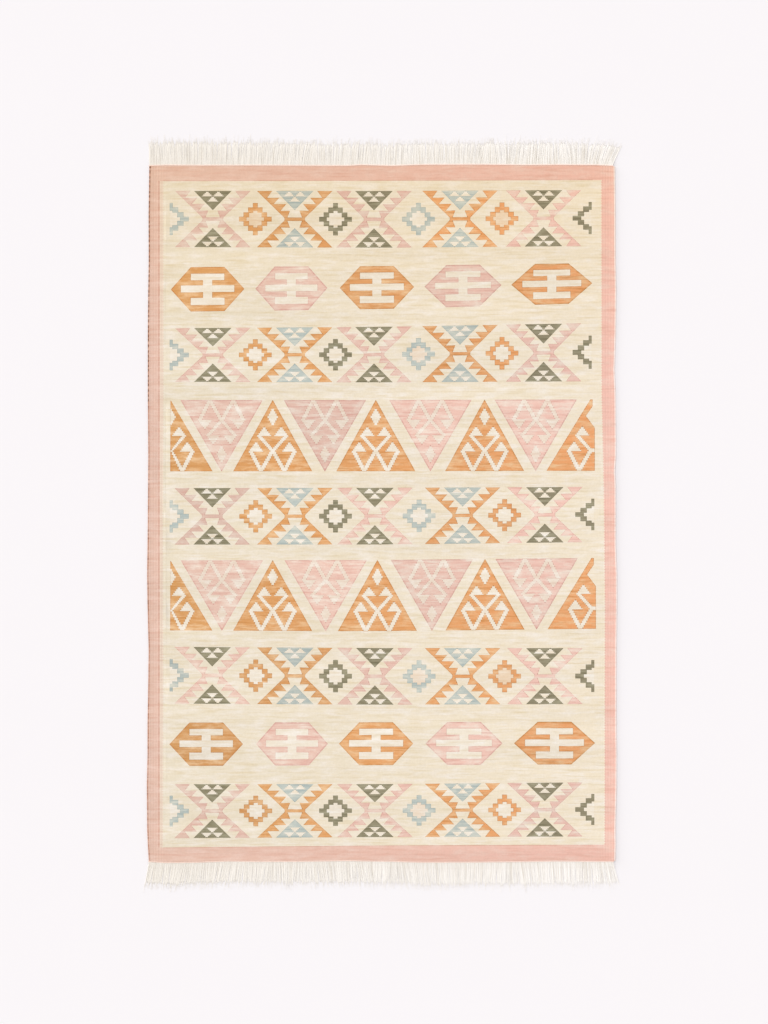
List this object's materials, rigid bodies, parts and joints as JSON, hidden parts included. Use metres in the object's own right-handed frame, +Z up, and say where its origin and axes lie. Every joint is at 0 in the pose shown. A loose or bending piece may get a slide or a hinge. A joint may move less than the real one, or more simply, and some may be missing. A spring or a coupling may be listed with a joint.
{
  "type": "kilim rug",
  "caption": "Flat-woven wool kilim rug with bands of stepped diamonds, serrated crosses, medallions and hooked triangles in a plain border, and a loose yarn fringe at each end.",
  "frame": {"origin": "on the floor, under the middle of the whole rug's box", "axes": "+X across the rug to the right as seen from above, +Y along it towards its far fringe, +Z up from the floor"},
  "size_m": [1.6178, 2.545, 0.0049],
  "materials": {
    "wool_flatweave": "matt weft-faced wool tapestry weave: cream field, dusty rose border, motifs in apricot, pale pink, sage and mist blue, with streaks of uneven dye along the wefts",
    "fringe_yarn": "matt undyed ivory warp yarn, softly twisted, with frayed tips"
  },
  "bodies": {
    "root": {"woven_cloth": "wool_flatweave", "fringe_far": "fringe_yarn", "fringe_near": "fringe_yarn"}
  },
  "joints": []
}
